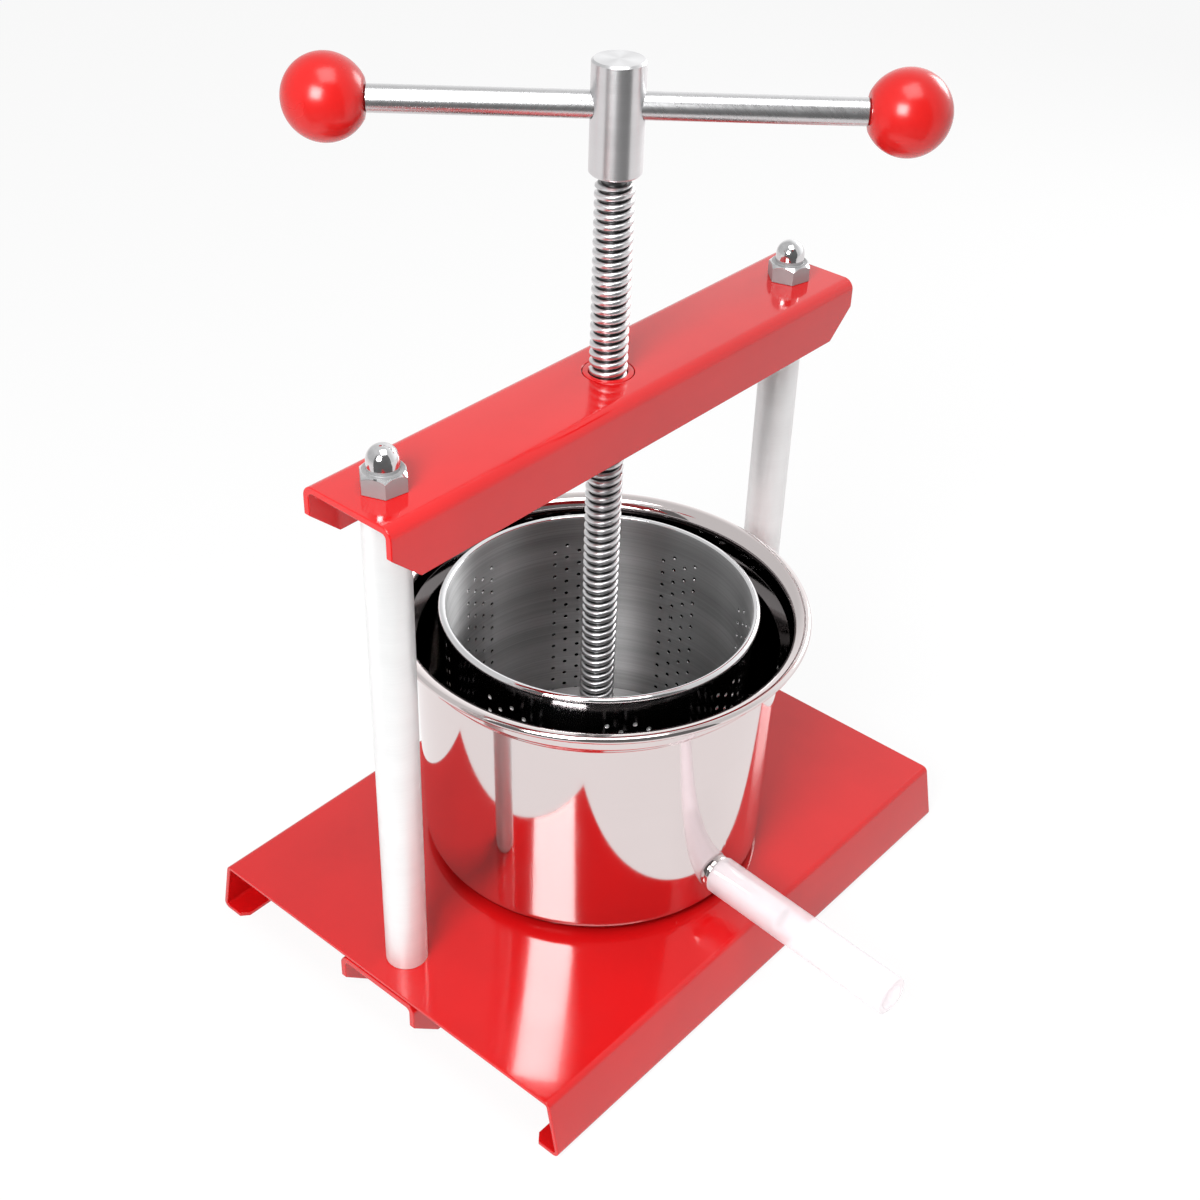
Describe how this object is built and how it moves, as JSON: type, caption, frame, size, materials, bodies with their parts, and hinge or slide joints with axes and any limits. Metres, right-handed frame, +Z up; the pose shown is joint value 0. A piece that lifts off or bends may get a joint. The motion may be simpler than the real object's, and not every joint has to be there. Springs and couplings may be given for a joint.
{
  "type": "fruit press",
  "caption": "Tabletop fruit press: a hand screw in a sheet-metal frame drives a plate into a perforated basket standing in a pot with a drain hose.",
  "frame": {"origin": "on the screw's axis, in the deck's top face, 2 mm under the top of the basket's floor", "axes": "+Z up along the screw, +X along the beams towards the right column, +Y to the back, away from the hose"},
  "size_m": [0.289, 0.2927, 0.4045],
  "materials": {
    "red_paint": "gloss",
    "satin_aluminium": "satin",
    "steel": "turned",
    "bright_chrome": "polished",
    "stainless": "brushed round the axis",
    "polished_steel": "mirror polished",
    "brass": "turned",
    "red_plastic": "gloss",
    "milky_hose": "milky, slightly see-through"
  },
  "bodies": {
    "frame": {"base_plate": "red_paint", "lower_beam": "red_paint", "top_beam": "red_paint", "screw_bush": "red_paint", "column_left": "satin_aluminium", "column_right": "satin_aluminium", "tie_rod_left": "steel", "tie_rod_right": "steel", "cap_nut_left": "bright_chrome", "cap_nut_right": "bright_chrome", "washer_left": "steel", "washer_right": "steel", "hex_nut_left": "steel", "hex_nut_right": "steel"},
    "presser": {"press_plate": "stainless", "plate_boss": "stainless", "boss_pins": "steel", "thrust_disc": "brass"},
    "screw": {"press_screw": "steel", "handle_hub": "steel"},
    "handle": {"handle_bar": "steel", "knob_left": "red_plastic", "knob_right": "red_plastic"},
    "pot": {"pot": "polished_steel", "spout": "polished_steel", "drain_hose": "milky_hose"},
    "basket": {"basket": "stainless"}
  },
  "joints": [
    {"name": "screw_feed", "type": "slide", "parent": "frame", "child": "presser", "axis": [0, 0, 1], "range_m": [-0.018, 0.165]},
    {"name": "screw_turn", "type": "hinge", "parent": "presser", "child": "screw", "pos_m": [0, 0, 0.3], "axis": [0, 0, 1], "range_deg": [-1610, 14840]},
    {"name": "bar_slide", "type": "slide", "parent": "screw", "child": "handle", "axis": [0.66, -0.7513, 0], "range_m": [-0.083, 0.083]},
    {"name": "pot_turn", "type": "hinge", "parent": "frame", "child": "pot", "pos_m": [0, 0, 0.02], "axis": [0, 0, 1], "range_deg": [-75, 85]},
    {"name": "basket_turn", "type": "hinge", "parent": "pot", "child": "basket", "pos_m": [0, 0, 0.02], "axis": [0, 0, 1], "continuous": true}
  ],
  "couplings": [
    {"joint": "screw_feed", "follows": "screw_turn", "m_per_rad": 0.00063662}
  ]
}
